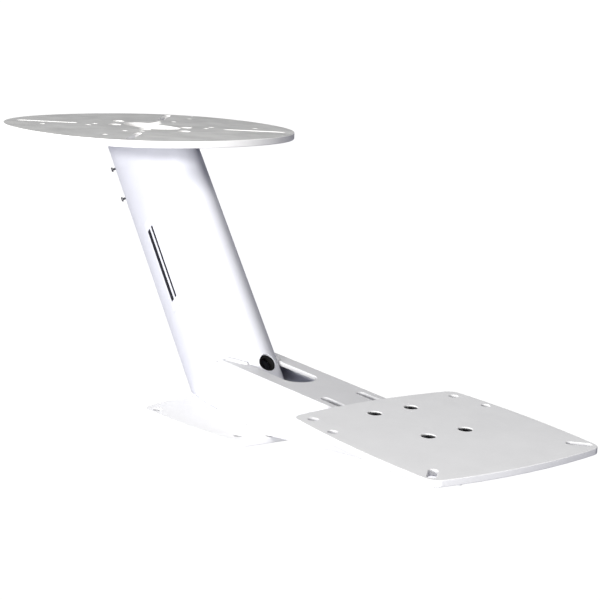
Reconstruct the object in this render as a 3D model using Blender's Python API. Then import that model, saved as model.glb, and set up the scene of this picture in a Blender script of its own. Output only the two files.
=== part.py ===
"""Dual antenna mount for a boat, metres, +Z up.

A raked hollow mast stands on a deck plate and carries a round upper platform.
A welded arm at the mast's foot carries a square lower platform, which slides
along two slots in the arm. The origin is the centre of the deck plate's
underside, and +X runs from the mast along the arm.
"""

import math

import bmesh
import bpy
from mathutils import Matrix, Vector

# Driving dimensions
GAP = 0.0003
RAKE = math.radians(39.86)
PATTERN_YAW = math.radians(7.8)

DECK_T = 0.008
DECK_REAR = Vector((-0.087, 0.127))
DECK_FRONT = Vector((0.106, 0.092))
DECK_SAGITTAS = (0.023, 0.005, 0.004)
DECK_CORNER_R = 0.016
DECK_HOLE_R = 0.006
DECK_HOLES = ((-0.069, 0.114), (0.082, 0.077))
DECK_CABLE_HOLE = (-0.060, 0.025)

TOP_Z = 0.376
TOP_T = 0.010
TOP_X = -0.312
TOP_R = 0.220
TOP_SQUARENESS = 0.0417
TOP_OPENING = (0.112, 0.054)
TOP_SLOT = (0.112, 0.205, 0.010)
TOP_SCREWS = ((0.0834, 0.0), (0.038, 0.0386))
TOP_SMALL_HOLES = ((0.0601, 0.0601), (0.047, 0.081), (0.081, 0.140))
TOP_SMALL_HOLE_R = 0.0042
TOP_SCREW_HOLE_R = 0.0045
TOP_RECESS_R = 0.010
TOP_RECESS_DEPTH = 0.007

MAST_AXIS_X = -0.330
MAST_HALF_LENGTH = 0.0934
MAST_HALF_WIDTH = 0.042
MAST_NOSE_R = 0.030
MAST_WALL = 0.004
FLANGE_T = 0.0097
FLANGE_HALF = (0.124, 0.056)
FLANGE_CORNER_R = 0.045
SPIGOT_GAP = 0.0004
SPIGOT_WALL = 0.005
SPIGOT_FOOT_Z = 0.233

CABLE_HOLE_R = 0.0125
CABLE_HOLE_ALONG = -0.454
SET_SCREWS_ALONG = (-0.028, -0.082)
SET_SCREW_ANGLE = math.radians(240)
SET_SCREW_HOLE_R = 0.0024

LABEL_ACROSS = (-0.030, 0.0)
LABEL_ALONG = (-0.307, -0.158)

ARM_TOP_Z = 0.0844
ARM_TOP_T = 0.0064
ARM_REAR_X = -0.018
ARM_FRONT_X = 0.482
ARM_REAR_Y = 0.0459
ARM_FRONT_Y = 0.042
ARM_OPENING_Y = 0.0235
ARM_OPENING_X = 0.130
ARM_SLOT = (0.200, 0.425)
ARM_SLOT_Y = 0.028
WEB_T = 0.0033
WEB_REAR = (-0.017, -0.060, 0.060)
WEB_LIFT_X = 0.096
WEB_FRONT_FOOT_Z = 0.0582
WEB_ARCH = 0.002
WEB_CORNER_R = 0.005
END_PLATE_T = 0.004
END_PLATE_INSET = 0.014

LOWER_X = 0.400
LOWER_T = 0.008
LOWER_HALF = Vector((0.1289, 0.1249))
LOWER_SAGITTAS = (0.011, 0.0069, 0.011)
LOWER_CORNER_R = 0.016
LOWER_BOLTS_X = (0.306, 0.406)
LOWER_REAR_HOLES = ((-0.108, 0.109, 0.006), (-0.0575, 0.1175, 0.0055))
LOWER_FRONT_SLOT = (0.109, 0.109, 0.029, 0.010)
LOWER_RECESS_R = 0.009
LOWER_RECESS_DEPTH = 0.005
BOLT_R = 0.005
BOLT_HEAD_R = 0.0084
BOLT_HOLE_R = 0.0054
BOLT_SLOT_W = 0.0108
NUT_BAR = (0.018, 0.008, 0.020)

# Derived places
DECK_TOP = DECK_T + GAP
TOP_UNDER = TOP_Z - TOP_T
FLANGE_TOP = TOP_UNDER - GAP
MAST_TOP = FLANGE_TOP - FLANGE_T - GAP
ARM_UNDER = ARM_TOP_Z - ARM_TOP_T
WEB_TOP = ARM_UNDER - GAP
LOWER_UNDER = ARM_TOP_Z + GAP
LOWER_TOP = LOWER_UNDER + LOWER_T


def clear_scene():
    for obj in list(bpy.data.objects):
        bpy.data.objects.remove(obj, do_unlink=True)


def new_collection(name):
    collection = bpy.data.collections.new(name)
    bpy.context.scene.collection.children.link(collection)
    return collection


clear_scene()
PARTS = new_collection("dual_antenna_mount")
CUTTERS = new_collection("cutters")


def new_material(name, colour, roughness, metallic):
    material = bpy.data.materials.new(name)
    material.use_nodes = True
    shader = material.node_tree.nodes["Principled BSDF"]
    shader.inputs["Base Color"].default_value = (*colour, 1.0)
    shader.inputs["Roughness"].default_value = roughness
    shader.inputs["Metallic"].default_value = metallic
    return material


WHITE = (0.80, 0.80, 0.80)
DECK_PAINT = new_material("deck_plate_paint", WHITE, 0.45, 0.0)
MAST_PAINT = new_material("mast_paint", (0.82, 0.82, 0.85), 0.35, 0.0)
ARM_PAINT = new_material("arm_paint", WHITE, 0.40, 0.0)
PLATFORM_PAINT = new_material("platform_paint", (0.74, 0.74, 0.73), 0.50, 0.0)
HEAD_ALLOY = new_material("head_alloy", (0.62, 0.63, 0.65), 0.45, 1.0)
STEEL = new_material("fastener_steel", (0.55, 0.55, 0.57), 0.30, 1.0)
BLACK_STEEL = new_material("bolt_black", (0.02, 0.02, 0.02), 0.40, 1.0)
RUBBER = new_material("grommet_rubber", (0.012, 0.012, 0.012), 0.70, 0.0)
FILM = new_material("label_film", (0.86, 0.86, 0.88), 0.25, 0.0)


# Outlines: each function gives a closed list of points

def arc(centre, radius, start, end, steps):
    """Points on an arc, with both its ends."""
    angles = [start + (end - start) * i / steps for i in range(steps + 1)]
    return [(centre[0] + radius * math.cos(a), centre[1] + radius * math.sin(a)) for a in angles]


def circle(x, y, radius, steps=24):
    return arc((x, y), radius, 0.0, 2 * math.pi, steps)[:-1]


def slot(x, y, length, width, angle=0.0, steps=10):
    """A slot with round ends, centred on x, y."""
    reach = (length - width) / 2
    ends = arc((reach, 0), width / 2, -math.pi / 2, math.pi / 2, steps)
    ends += arc((-reach, 0), width / 2, math.pi / 2, 3 * math.pi / 2, steps)
    return [turned(point, angle, (x, y)) for point in ends]


def turned(point, angle, offset=(0.0, 0.0)):
    c, s = math.cos(angle), math.sin(angle)
    return (offset[0] + point[0] * c - point[1] * s, offset[1] + point[0] * s + point[1] * c)


def bulged(start, end, sagitta, steps=8):
    """Points from start to end on a shallow arc that bulges to the right, without its end."""
    start, end = Vector(start), Vector(end)
    chord = end - start
    outward = Vector((chord.y, -chord.x)).normalized()
    shares = [i / steps for i in range(steps)]
    return [start + chord * s + outward * sagitta * 4 * s * (1 - s) for s in shares]


def rounded(points, corner_ids, radius, steps=5):
    """Replaces each corner of a counter-clockwise outline by a round of the given radius."""
    outline = []
    for i, point in enumerate(points):
        if i not in corner_ids:
            outline.append(point)
            continue
        before = (points[i - 1] - point).normalized()
        after = (points[(i + 1) % len(points)] - point).normalized()
        half = before.angle(after) / 2
        centre = point + (before + after).normalized() * radius / math.sin(half)
        first = point + before * radius / math.tan(half)
        last = point + after * radius / math.tan(half)
        outline += swept(centre, first - centre, last - centre, steps)
    return outline


def swept(centre, first, last, steps):
    """Points round a centre from one spoke to another."""
    turn = math.atan2(first.x * last.y - first.y * last.x, first.dot(last))
    start = math.atan2(first.y, first.x)
    return [Vector(p) for p in arc(centre, first.length, start, start + turn, steps)]


def bulged_quad(rear, front, sagittas, radius):
    """A plate mirrored about the X axis. Its rear, side and front edges bulge."""
    corners = [(rear.x, -rear.y), (front.x, -front.y), (front.x, front.y), (rear.x, rear.y)]
    bulges = [sagittas[1], sagittas[2], sagittas[1], sagittas[0]]
    points = []
    corner_ids = []
    for i, corner in enumerate(corners):
        corner_ids.append(len(points))
        points += bulged(corner, corners[(i + 1) % 4], bulges[i])
    return rounded(points, corner_ids, radius)


def mast_oval(offset=0.0, stretch=1.0, steps=10):
    """The mast's section: two small nose arcs joined by two large side arcs."""
    nose_x = MAST_HALF_LENGTH - MAST_NOSE_R
    rise = MAST_HALF_WIDTH ** 2 - MAST_NOSE_R ** 2
    side_r = (nose_x ** 2 + rise) / (2 * (MAST_HALF_WIDTH - MAST_NOSE_R))
    side_y = side_r - MAST_HALF_WIDTH
    meet = math.atan2(side_y, nose_x)
    half = arc((nose_x, 0), MAST_NOSE_R + offset, -meet, meet, steps)
    half += arc((0, -side_y), side_r + offset, meet, math.pi - meet, steps)[1:-1]
    whole = half + [(-x, -y) for x, y in half]
    return [(x * stretch, y) for x, y in whole]


# Solids

def add_to(collection, obj):
    for owner in list(obj.users_collection):
        owner.objects.unlink(obj)
    collection.objects.link(obj)
    return obj


def finish_part(obj, material):
    """Names the piece as a part and gives it its material."""
    add_to(PARTS, obj)
    obj.data.materials.clear()
    obj.data.materials.append(material)
    return obj


def prism(name, outlines, low, high):
    """A flat piece between two heights. Outlines after the first one are holes."""
    data = bpy.data.curves.new(name + "_outline", "CURVE")
    data.dimensions = "2D"
    data.fill_mode = "BOTH"
    data.extrude = (high - low) / 2
    for outline in outlines:
        spline = data.splines.new("POLY")
        spline.points.add(len(outline) - 1)
        for point, place in zip(spline.points, outline):
            point.co = (place[0], place[1], 0.0, 1.0)
        spline.use_cyclic_u = True
    curve = bpy.data.objects.new(name + "_outline", data)
    curve.location.z = (low + high) / 2
    bpy.context.scene.collection.objects.link(curve)
    return mesh_from_curve(name, curve)


def mesh_from_curve(name, curve):
    """The curve's mesh with its caps welded on, in the curve's place."""
    bpy.context.view_layer.update()
    evaluated = curve.evaluated_get(bpy.context.evaluated_depsgraph_get())
    mesh = bpy.data.meshes.new_from_object(evaluated)
    mesh.transform(curve.matrix_world)
    mesh.name = name
    bm = bmesh.new()
    bm.from_mesh(mesh)
    bmesh.ops.remove_doubles(bm, verts=bm.verts, dist=0.000001)
    bmesh.ops.recalc_face_normals(bm, faces=bm.faces)
    bm.to_mesh(mesh)
    bm.free()
    bpy.data.objects.remove(curve, do_unlink=True)
    obj = bpy.data.objects.new(name, mesh)
    bpy.context.scene.collection.objects.link(obj)
    return obj


def rod(name, radius, low, high, place, steps=32):
    """An upright cylinder at x, y between two heights."""
    bpy.ops.mesh.primitive_cylinder_add(
        vertices=steps, radius=radius, depth=high - low, location=(*place, (low + high) / 2))
    obj = bpy.context.object
    obj.name = name
    obj.data.transform(obj.matrix_world)
    obj.matrix_world = Matrix()
    return obj


def box(name, low, high):
    """A box between two corners."""
    low, high = Vector(low), Vector(high)
    bpy.ops.mesh.primitive_cube_add(size=1.0)
    obj = bpy.context.object
    obj.name = name
    obj.data.transform(Matrix.LocRotScale((low + high) / 2, None, high - low))
    return obj


def boolean(obj, other, operation):
    """Cuts a piece, or joins another solid to it, with a cutter kept out of the render."""
    add_to(CUTTERS, other)
    other.hide_render = True
    other.display_type = "WIRE"
    modifier = obj.modifiers.new(operation.lower() + "_" + other.name, "BOOLEAN")
    modifier.operation = operation
    modifier.object = other
    modifier.solver = "EXACT"


def smooth(obj, angle=30):
    obj.data.shade_smooth()
    obj.data.set_sharp_from_angle(angle=math.radians(angle))


def rake(obj):
    """Leans an upright piece back about the Y axis, so that its axis is the mast's."""
    lean = Matrix.Identity(4)
    lean[0][2] = -math.tan(RAKE)
    obj.data.transform(Matrix.Translation((MAST_AXIS_X, 0, TOP_Z)) @ lean)
    return obj


def raked_prism(name, offsets, low, high):
    """A piece along the mast with level ends. Its outlines are offset from the mast's section."""
    stretch = 1 / math.cos(RAKE)
    outlines = [mast_oval(offset, stretch) for offset in offsets]
    return rake(prism(name, outlines, low - TOP_Z, high - TOP_Z))


def mast_frame():
    """The mast's own frame: X across it towards the arm, Z up along its axis."""
    return Matrix.Translation((MAST_AXIS_X, 0, TOP_Z)) @ Matrix.Rotation(-RAKE, 4, "Y")


def around(obj, location, axis):
    """Moves a piece that was made about +Z at the origin to a place and an axis."""
    turn = Vector((0, 0, 1)).rotation_difference(Vector(axis)).to_matrix().to_4x4()
    obj.data.transform(Matrix.Translation(location) @ turn)
    return obj


def four(places):
    """Repeats places given for one quarter in all four quarters, each place once."""
    found = []
    for x, y in places:
        for place in ((x, y), (-x, y), (-x, -y), (x, -y)):
            if place not in found:
                found.append(place)
    return found


# Deck plate, mast and its head

def deck_plate():
    outline = bulged_quad(DECK_REAR, DECK_FRONT, DECK_SAGITTAS, DECK_CORNER_R)
    holes = [circle(x, side * y, DECK_HOLE_R) for x, y in DECK_HOLES for side in (-1, 1)]
    cable_x, cable_r = DECK_CABLE_HOLE
    plate = prism("deck_plate", [outline, *holes, circle(cable_x, 0, cable_r)], 0, DECK_T)
    finish_part(plate, DECK_PAINT)


def cable_hole_place():
    """Where the cable hole's axis leaves the mast's nose, and the way it points."""
    frame = mast_frame()
    place = frame @ Vector((MAST_HALF_LENGTH, 0, CABLE_HOLE_ALONG))
    return place, (frame.to_3x3() @ Vector((1, 0, 0))).normalized()


def set_screw_places():
    """Where each set screw's axis leaves the mast's rear flank, and the way it points."""
    nose = Vector((MAST_NOSE_R - MAST_HALF_LENGTH, 0, 0))
    outward = Vector((math.cos(SET_SCREW_ANGLE), math.sin(SET_SCREW_ANGLE), 0))
    frame = mast_frame()
    direction = frame.to_3x3() @ outward
    return [(frame @ (nose + outward * MAST_NOSE_R + Vector((0, 0, along))), direction)
            for along in SET_SCREWS_ALONG]


def cut_along(obj, name, radius, reach, place, axis):
    """Drills a piece along an axis, to a given reach each way."""
    boolean(obj, around(rod(name, radius, -reach, reach, (0, 0)), place, axis), "DIFFERENCE")


def mast_column():
    mast = raked_prism("mast_column", [0.0, -MAST_WALL], DECK_TOP, MAST_TOP)
    cut_along(mast, "cable_hole", CABLE_HOLE_R, 0.020, *cable_hole_place())
    for i, (place, axis) in enumerate(set_screw_places()):
        cut_along(mast, f"set_screw_hole_{i + 1}", SET_SCREW_HOLE_R, 0.006, place, axis)
    smooth(mast)
    finish_part(mast, MAST_PAINT)


def cable_grommet():
    """A rubber ring that lines the mast's cable hole, set just below the surface."""
    place, axis = cable_hole_place()
    ring = prism("cable_grommet", [circle(0, 0, 0.0121), circle(0, 0, 0.0085)], -0.011, -0.003)
    around(ring, place, axis)
    smooth(ring)
    finish_part(ring, RUBBER)


def mast_head():
    """The flange under the upper platform, with the spigot that sits inside the mast."""
    half_x, half_y = FLANGE_HALF
    corners = [Vector((a * half_x, b * half_y)) for a, b in ((-1, -1), (1, -1), (1, 1), (-1, 1))]
    outline = rounded(corners, range(4), FLANGE_CORNER_R)
    centre = MAST_AXIS_X + (TOP_Z - MAST_TOP) * math.tan(RAKE)
    outline = [(x + centre, y) for x, y in outline]
    passage = slot(TOP_X, 0, 0.104, 0.044, PATTERN_YAW)
    holes = [circle(x, y, 0.0043, 16) for x, y in top_screw_places()]
    head = prism("mast_head", [outline, passage, *holes], FLANGE_TOP - FLANGE_T, FLANGE_TOP)
    inner = -MAST_WALL - SPIGOT_GAP
    spigot = raked_prism("spigot", [inner, inner - SPIGOT_WALL], SPIGOT_FOOT_Z,
                          FLANGE_TOP - FLANGE_T + 0.0005)
    boolean(head, spigot, "UNION")
    for i, (place, axis) in enumerate(set_screw_places()):
        cut_along(head, f"spigot_thread_{i + 1}", SET_SCREW_HOLE_R, 0.012, place, axis)
    finish_part(head, HEAD_ALLOY)


def set_screws():
    """Two small pan-head screws that clamp the spigot, their heads proud of the mast."""
    for i, (place, axis) in enumerate(set_screw_places()):
        profile = ((0.0, 0.0068), (0.0026, 0.0064), (0.0038, 0.0052), (0.0038, 0.0040),
                   (0.0020, 0.0040), (0.0020, -0.0080), (0.0, -0.0080))
        screw = turned_solid(f"mast_set_screw_{i + 1}", profile)
        around(screw, place, axis)
        finish_part(screw, STEEL)


def turned_solid(name, profile, steps=20):
    """A solid turned about Z from points of radius and height, listed top to bottom."""
    mesh = bpy.data.meshes.new(name)
    bm = bmesh.new()
    verts = [bm.verts.new((r, 0, z)) for r, z in profile]
    for first, second in zip(verts, verts[1:]):
        bm.edges.new((first, second))
    bmesh.ops.spin(bm, geom=bm.verts[:] + bm.edges[:], cent=(0, 0, 0), axis=(0, 0, 1),
                   angle=2 * math.pi, steps=steps, use_merge=True)
    bmesh.ops.remove_doubles(bm, verts=bm.verts, dist=0.000001)
    bmesh.ops.recalc_face_normals(bm, faces=bm.faces)
    bm.to_mesh(mesh)
    bm.free()
    obj = bpy.data.objects.new(name, mesh)
    bpy.context.scene.collection.objects.link(obj)
    smooth(obj)
    return obj


def blank_label():
    """A thin film on the mast's near flank, curved with it."""
    nose_x = MAST_HALF_LENGTH - MAST_NOSE_R
    rise = MAST_HALF_WIDTH ** 2 - MAST_NOSE_R ** 2
    side_r = (nose_x ** 2 + rise) / (2 * (MAST_HALF_WIDTH - MAST_NOSE_R))
    centre = (0, side_r - MAST_HALF_WIDTH)
    angles = [-math.pi / 2 + math.asin(x / side_r) for x in LABEL_ACROSS]
    outer = arc(centre, side_r + 2 * GAP, *angles, 8)
    inner = arc(centre, side_r + GAP, *reversed(angles), 8)
    film = prism("blank_label", [outer + inner], *LABEL_ALONG)
    film.data.transform(mast_frame())
    smooth(film)
    finish_part(film, FILM)


# Upper platform

def top_outline(steps=96):
    """A round plate drawn out slightly at its four slots."""
    points = []
    for i in range(steps):
        angle = 2 * math.pi * i / steps
        dip = (1 - math.cos(4 * (angle - math.pi / 4 - PATTERN_YAW))) / 2
        radius = TOP_R * (1 - TOP_SQUARENESS * dip)
        points.append((TOP_X + radius * math.cos(angle), radius * math.sin(angle)))
    return points


def on_top(places):
    """Places in the platform's own pattern, turned and moved onto it."""
    return [turned(place, PATTERN_YAW, (TOP_X, 0)) for place in places]


def top_screw_places():
    return on_top(four(TOP_SCREWS))


def top_platform():
    outlines = [top_outline(), slot(TOP_X, 0, *TOP_OPENING, PATTERN_YAW)]
    inner, outer, width = TOP_SLOT
    for i in range(4):
        angle = PATTERN_YAW + math.pi / 4 + i * math.pi / 2
        x, y = turned(((inner + outer) / 2, 0), angle, (TOP_X, 0))
        outlines.append(slot(x, y, outer - inner, width, angle))
    outlines += [circle(x, y, TOP_SMALL_HOLE_R, 16) for x, y in on_top(four(TOP_SMALL_HOLES))]
    outlines += [circle(x, y, TOP_SCREW_HOLE_R, 16) for x, y in top_screw_places()]
    plate = prism("upper_platform", outlines, TOP_UNDER, TOP_Z)
    for i, place in enumerate(top_screw_places()):
        cutter = rod(f"recess_{i + 1}", TOP_RECESS_R, TOP_Z - TOP_RECESS_DEPTH, TOP_Z + 0.002, place)
        boolean(plate, cutter, "DIFFERENCE")
    finish_part(plate, PLATFORM_PAINT)


def top_screws():
    """Cap screws in the platform's recesses, down into the mast head's flange."""
    head_foot = TOP_Z - TOP_RECESS_DEPTH + GAP
    foot = FLANGE_TOP - FLANGE_T + 0.001
    profile = ((0.0, 0.004), (0.0068, 0.004), (0.0080, 0.0030), (0.0080, 0.0),
               (0.0040, 0.0), (0.0040, foot - head_foot), (0.0, foot - head_foot))
    for i, place in enumerate(top_screw_places()):
        screw = turned_solid(f"platform_screw_{i + 1}", profile)
        around(screw, (*place, head_foot), (0, 0, 1))
        finish_part(screw, STEEL)


# Arm

def arm_half_width(x, rear=ARM_REAR_Y, front=ARM_FRONT_Y):
    """The arm's half width at x. It narrows a little towards its front."""
    return rear + (front - rear) * (x - ARM_REAR_X) / (ARM_FRONT_X - ARM_REAR_X)


def arm_top():
    rear, front = ARM_REAR_X, ARM_FRONT_X
    outline = [(rear, -arm_half_width(rear)), (front, -arm_half_width(front)),
               (front, arm_half_width(front)), (rear, arm_half_width(rear))]
    start = MAST_AXIS_X
    opening = slot((start + ARM_OPENING_X) / 2, 0, ARM_OPENING_X - start, 2 * ARM_OPENING_Y)
    length = ARM_SLOT[1] - ARM_SLOT[0]
    slots = [slot(sum(ARM_SLOT) / 2, side * ARM_SLOT_Y, length, BOLT_SLOT_W) for side in (-1, 1)]
    plate = prism("arm_top", [outline, *slots], ARM_UNDER, ARM_TOP_Z)
    opening_cutter = prism("arm_opening", [opening], ARM_UNDER - 0.01, ARM_TOP_Z + 0.01)
    boolean(plate, opening_cutter, "DIFFERENCE")
    cope = raked_prism("arm_cope", [0.0005], ARM_UNDER - 0.012, ARM_TOP_Z + 0.012)
    boolean(plate, cope, "DIFFERENCE")
    finish_part(plate, ARM_PAINT)


def web_profile():
    """A web seen from the side, as points of x and height. Its underside arches slightly."""
    foot_x, shoulder_x, shoulder_z = WEB_REAR
    underside = bulged((WEB_LIFT_X, DECK_TOP), (ARM_FRONT_X, WEB_FRONT_FOOT_Z), -WEB_ARCH)
    front = [Vector((ARM_FRONT_X, WEB_FRONT_FOOT_Z)), Vector((ARM_FRONT_X, WEB_TOP))]
    rear = [Vector((ARM_REAR_X - 0.010, WEB_TOP)), Vector((shoulder_x, shoulder_z))]
    points = [Vector((foot_x, DECK_TOP)), *underside, *front, *rear]
    front_corner = len(underside) + 1
    shoulder = len(points) - 1
    points = rounded(points, (shoulder,), 0.008)
    return rounded(points, (front_corner,), WEB_CORNER_R)


def arm_webs():
    for name, side in (("arm_web_near", -1), ("arm_web_far", 1)):
        web = prism(name, [web_profile()], 0, WEB_T)
        slope = math.atan2(ARM_REAR_Y - ARM_FRONT_Y, ARM_FRONT_X - ARM_REAR_X)
        upright = Matrix.Rotation(math.pi / 2, 4, "X")
        outer = Matrix.Translation((0, WEB_T, 0)) @ upright if side < 0 else upright
        place = Matrix.Translation((0, side * arm_half_width(0), 0))
        web.data.transform(place @ Matrix.Rotation(-side * slope, 4, "Z") @ outer)
        finish_part(web, ARM_PAINT)


def arm_end_plate():
    front = ARM_FRONT_X - END_PLATE_INSET
    inner = arm_half_width(ARM_FRONT_X) - WEB_T - 2 * GAP
    foot = WEB_FRONT_FOOT_Z + 0.004
    plate = box("arm_end_plate", (front - END_PLATE_T, -inner, foot), (front, inner, WEB_TOP))
    finish_part(plate, ARM_PAINT)


# Lower platform, which slides along the arm's slots

def lower_bolt_places():
    return [(x, side * ARM_SLOT_Y) for x in LOWER_BOLTS_X for side in (-1, 1)]


def lower_platform():
    outline = bulged_quad(Vector((-LOWER_HALF.x, LOWER_HALF.y)), LOWER_HALF,
                          LOWER_SAGITTAS, LOWER_CORNER_R)
    outlines = [[(x + LOWER_X, y) for x, y in outline]]
    for side in (-1, 1):
        for x, y, radius in LOWER_REAR_HOLES:
            outlines.append(circle(LOWER_X + x, side * y, radius))
        x, y, length, width = LOWER_FRONT_SLOT
        outlines.append(slot(LOWER_X + x, side * y, length, width, side * math.pi / 4))
    outlines += [circle(x, y, BOLT_HOLE_R) for x, y in lower_bolt_places()]
    plate = prism("lower_platform", outlines, LOWER_UNDER, LOWER_TOP)
    recess_foot = LOWER_TOP - LOWER_RECESS_DEPTH
    for i, place in enumerate(lower_bolt_places()):
        cutter = rod(f"bolt_recess_{i + 1}", LOWER_RECESS_R, recess_foot, LOWER_TOP + 0.002, place)
        boolean(plate, cutter, "DIFFERENCE")
    finish_part(plate, PLATFORM_PAINT)


def lower_bolts():
    """Black bolts whose heads fill the platform's recesses."""
    head_foot = LOWER_TOP - LOWER_RECESS_DEPTH + GAP
    foot = WEB_TOP - NUT_BAR[1] - 0.003
    profile = ((0.0, 0.0035), (0.0070, 0.0035), (BOLT_HEAD_R, 0.0025), (BOLT_HEAD_R, 0.0),
               (BOLT_R, 0.0), (BOLT_R, foot - head_foot), (0.0, foot - head_foot))
    for i, place in enumerate(lower_bolt_places()):
        bolt = turned_solid(f"lower_platform_bolt_{i + 1}", profile, 24)
        around(bolt, (*place, head_foot), (0, 0, 1))
        finish_part(bolt, BLACK_STEEL)


def nut_bars():
    """Two tapped bars under the arm's top, one for the two bolts of each slot."""
    width, height, margin = NUT_BAR
    length = LOWER_BOLTS_X[1] - LOWER_BOLTS_X[0] + 2 * margin
    middle = sum(LOWER_BOLTS_X) / 2
    for name, side in (("nut_bar_near", -1), ("nut_bar_far", 1)):
        corners = [Vector((middle + a * length / 2, side * ARM_SLOT_Y + b * width / 2))
                   for a, b in ((-1, -1), (1, -1), (1, 1), (-1, 1))]
        holes = [circle(x, side * ARM_SLOT_Y, BOLT_HOLE_R) for x in LOWER_BOLTS_X]
        bar = prism(name, [rounded(corners, range(4), 0.004), *holes], WEB_TOP - height, WEB_TOP)
        finish_part(bar, STEEL)


def main():
    deck_plate()
    mast_column()
    cable_grommet()
    mast_head()
    set_screws()
    blank_label()
    top_platform()
    top_screws()
    arm_top()
    arm_webs()
    arm_end_plate()
    lower_platform()
    lower_bolts()
    nut_bars()


main()
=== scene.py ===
import math

import bmesh
import bpy
from mathutils import Matrix, Vector


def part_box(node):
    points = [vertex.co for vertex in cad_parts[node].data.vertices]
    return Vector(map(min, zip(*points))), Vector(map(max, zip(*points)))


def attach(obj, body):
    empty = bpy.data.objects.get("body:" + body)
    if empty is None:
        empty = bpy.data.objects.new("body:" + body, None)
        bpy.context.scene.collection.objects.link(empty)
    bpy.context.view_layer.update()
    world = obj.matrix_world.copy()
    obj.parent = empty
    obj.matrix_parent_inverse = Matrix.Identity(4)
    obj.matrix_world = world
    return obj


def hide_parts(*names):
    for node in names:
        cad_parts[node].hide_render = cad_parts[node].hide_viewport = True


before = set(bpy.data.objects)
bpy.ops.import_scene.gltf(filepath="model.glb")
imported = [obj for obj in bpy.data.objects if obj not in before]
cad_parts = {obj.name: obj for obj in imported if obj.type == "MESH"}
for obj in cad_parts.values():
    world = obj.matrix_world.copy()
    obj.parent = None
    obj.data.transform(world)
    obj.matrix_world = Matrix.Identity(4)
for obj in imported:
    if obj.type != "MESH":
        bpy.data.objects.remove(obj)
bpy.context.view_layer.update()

# Places read from the frame
DECK_LOW, DECK_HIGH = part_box("deck_plate")
TOP_LOW, TOP_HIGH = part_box("upper_platform")
MAST_LOW, MAST_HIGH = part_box("mast_column")
HEAD_LOW, HEAD_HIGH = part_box("mast_head")
ARM_LOW, ARM_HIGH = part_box("arm_top")
LOWER_LOW, LOWER_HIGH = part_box("lower_platform")
WEB_FOOT_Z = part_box("arm_web_near")[0].z
TOP_Z = TOP_HIGH.z
TOP_X = (TOP_LOW.x + TOP_HIGH.x) / 2
LOWER_X = (LOWER_LOW.x + LOWER_HIGH.x) / 2

# Dimensions of the design, in metres
GAP = 0.0003
RAKE = math.radians(39.86)
PATTERN_YAW = math.radians(7.8)
MAST_AXIS_X = -0.330
MAST_HALF_LENGTH = 0.0934
MAST_HALF_WIDTH = 0.042
MAST_NOSE_R = 0.030
MAST_WALL = 0.004
FLANGE_T = 0.0097
FLANGE_HALF = (0.124, 0.056)
FLANGE_CORNER_R = 0.045
HEAD_PASSAGE = (0.104, 0.044)
HEAD_HOLE_R = 0.0043
SPIGOT_GAP = 0.0004
SPIGOT_WALL = 0.005
CABLE_HOLE_R = 0.0125
CABLE_HOLE_ALONG = -0.454
GROMMET_R = 0.0121
GROMMET_BORE_R = 0.0085
GROMMET_LIP_Z = -0.0048
GROMMET_FOOT_Z = -0.0110
SET_SCREWS_ALONG = (-0.028, -0.082)
SET_SCREW_ANGLE = math.radians(240)
SET_SCREW_HOLE_R = 0.0024
SET_SCREW_PROFILE = ((0.0, 0.0067), (0.0022, 0.0066), (0.0033, 0.0060), (0.0038, 0.0050),
                     (0.0037, 0.0042), (0.0017, 0.0040), (0.0017, -0.0080), (0.0, -0.0080))
LABEL_ACROSS = (-0.030, 0.0)
LABEL_ALONG = (-0.307, -0.158)
BARS_ALONG = (-0.292, -0.173)
WIDE_BAR_ACROSS = (-0.0245, -0.0155)
THIN_BAR_ACROSS = (-0.0100, -0.0055)

DECK_REAR = Vector((-0.087, 0.127))
DECK_FRONT = Vector((0.106, 0.092))
DECK_SAGITTAS = (0.023, 0.005, 0.004)
DECK_HOLES = ((-0.069, 0.114), (0.082, 0.077))
DECK_HOLE_R = 0.006
DECK_CABLE_HOLE = (-0.060, 0.025)
CORNER_R = 0.016

TOP_R = 0.220
TOP_SQUARENESS = 0.0417
TOP_OPENING = (0.112, 0.054)
TOP_SLOT = (0.112, 0.205, 0.010)
TOP_SCREWS = ((0.0834, 0.0), (0.038, 0.0386))
TOP_SMALL_HOLES = ((0.0601, 0.0601), (0.047, 0.081), (0.081, 0.140))
TOP_SMALL_HOLE_R = 0.0042
TOP_SCREW_HOLE_R = 0.0045
TOP_HEAD_R = 0.0080
TOP_SHANK_R = 0.0040

ARM_REAR_Y = 0.0459
ARM_FRONT_Y = 0.042
ARM_OPENING_Y = 0.0235
ARM_OPENING_X = 0.130
ARM_SLOT = (0.200, 0.425)
ARM_SLOT_Y = 0.028
WEB_T = 0.0033
WEB_REAR = (-0.017, -0.060, 0.060)
WEB_LIFT_X = 0.096
WEB_FRONT_FOOT_Z = 0.0582
WEB_ARCH = 0.002
WEB_STEP = 0.010
WEB_SHOULDER_R = 0.008
WEB_FRONT_R = 0.005

LOWER_HALF = Vector((0.1289, 0.1249))
LOWER_SAGITTAS = (0.011, 0.0069, 0.011)
LOWER_REAR_HOLES = ((-0.108, 0.109, 0.006), (-0.0575, 0.1175, 0.0055))
LOWER_FRONT_SLOT = (0.109, 0.109, 0.029, 0.010)
LOWER_BOLTS_X = (0.306, 0.406)
BOLT_R = 0.005
BOLT_HEAD_R = 0.0084
BOLT_HOLE_R = 0.0054
BOLT_SLOT_W = 0.0108
NUT_BAR_CORNER_R = 0.004

# Recesses as radius and depth, and hexagon sockets as width across flats and depth
TOP_RECESS = (0.0096, 0.007)
LOWER_RECESS = (0.0088, 0.005)
SET_SCREW_SOCKET = (0.0025, 0.0014)
TOP_SCREW_SOCKET = (0.0060, 0.0030)
BOLT_SOCKET = (0.0070, 0.0026)

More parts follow.
